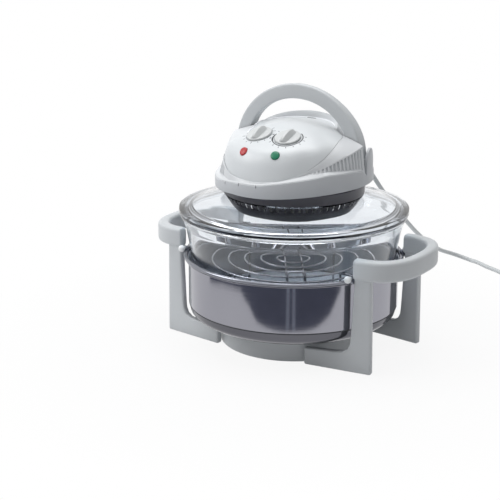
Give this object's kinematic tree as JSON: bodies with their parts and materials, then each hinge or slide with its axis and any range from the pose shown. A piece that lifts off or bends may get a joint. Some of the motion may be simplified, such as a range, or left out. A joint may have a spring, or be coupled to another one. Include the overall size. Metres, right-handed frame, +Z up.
{
  "type": "halogen oven",
  "caption": "Countertop halogen oven: glass bowl in a plastic stand with a steel shell, wire rack, and a lift-off glass lid with a domed heating head, knobs and a fold-back handle.",
  "frame": {"origin": "on the axis of the bowl, at the level of the surface that the stand stands on", "axes": "+Z up; +X to the right of the control panel; the control panel faces -Y and the cord leaves towards +Y"},
  "size_m": [0.4722, 0.6615, 0.3735],
  "materials": {
    "housing": "light grey moulded plastic, satin",
    "skirt": "mid grey moulded plastic, satin",
    "panel": "pale grey moulded plastic, satin",
    "knob_plastic": "off-white moulded plastic",
    "polished_steel": "polished stainless steel sheet",
    "chrome_wire": "chromed steel wire",
    "clear_glass": "clear toughened glass",
    "collar_metal": "dark grey satin metal",
    "dark_plastic": "near-black heat-resistant plastic",
    "guard_metal": "black enamelled steel",
    "quartz": "quartz glass tube",
    "ceramic": "white ceramic",
    "red_lens": "translucent red lens",
    "green_lens": "translucent green lens",
    "pin_steel": "bright steel",
    "fan_aluminium": "sheet aluminium",
    "motor_metal": "motor laminations and frame",
    "cord_sheath": "light grey PVC sheath"
  },
  "bodies": {
    "stand": {"base_ring": "housing", "shell_base": "polished_steel", "steel_shell": "polished_steel", "support_ring": "chrome_wire", "ring_knob_front_left": "knob_plastic", "ring_knob_front_right": "knob_plastic", "ring_knob_rear_left": "knob_plastic", "ring_knob_rear_right": "knob_plastic", "side_frame_right": "housing", "side_frame_left": "housing"},
    "bowl": {"glass_bowl": "clear_glass"},
    "rack": {"wire_rack": "chrome_wire"},
    "lid_head": {"glass_lid": "clear_glass", "lid_collar": "collar_metal", "heat_spacer": "dark_plastic", "lamp_guard": "guard_metal", "lamp_grille": "chrome_wire", "reflector": "polished_steel", "halogen_lamp": "quartz", "lamp_holder_left": "ceramic", "lamp_holder_right": "ceramic", "lower_housing": "skirt", "control_panel": "panel", "timer_unit": "dark_plastic", "heat_unit": "dark_plastic", "power_indicator": "red_lens", "heat_indicator": "green_lens", "upper_housing": "housing", "handle_pin_left": "pin_steel", "handle_pin_right": "pin_steel", "fan_motor": "motor_metal", "safety_switch": "dark_plastic", "terminal_block": "ceramic", "strain_relief": "cord_sheath", "cord": "cord_sheath", "cord_coil": "cord_sheath", "plug": "cord_sheath"},
    "fan": {"hot_air_fan": "fan_aluminium", "cooling_fan": "dark_plastic", "motor_shaft": "pin_steel"},
    "handle": {"carry_handle": "housing"},
    "timer_knob": {"timer_knob": "knob_plastic"},
    "heat_knob": {"heat_knob": "knob_plastic"}
  },
  "joints": [
    {"name": "bowl_lift", "type": "slide", "parent": "stand", "child": "bowl", "axis": [0, 0, 1], "range_m": [0, 0.2]},
    {"name": "rack_lift", "type": "slide", "parent": "bowl", "child": "rack", "axis": [0, 0, 1], "range_m": [0, 0.05]},
    {"name": "lid_lift", "type": "slide", "parent": "bowl", "child": "lid_head", "axis": [0, 0, 1], "range_m": [0, 0.2]},
    {"name": "fan_spin", "type": "hinge", "parent": "lid_head", "child": "fan", "pos_m": [0, 0, 0.256], "axis": [0, 0, 1], "continuous": true},
    {"name": "handle_fold", "type": "hinge", "parent": "lid_head", "child": "handle", "pos_m": [0, 0.015, 0.268], "axis": [-1, 0, 0], "range_deg": [0, 90]},
    {"name": "timer_turn", "type": "hinge", "parent": "lid_head", "child": "timer_knob", "pos_m": [-0.023, -0.056, 0.309], "axis": [0.0631, 0.3466, -0.9359], "range_deg": [0, 300]},
    {"name": "heat_turn", "type": "hinge", "parent": "lid_head", "child": "heat_knob", "pos_m": [0.023, -0.056, 0.309], "axis": [-0.0631, 0.3466, -0.9359], "range_deg": [0, 270]}
  ]
}
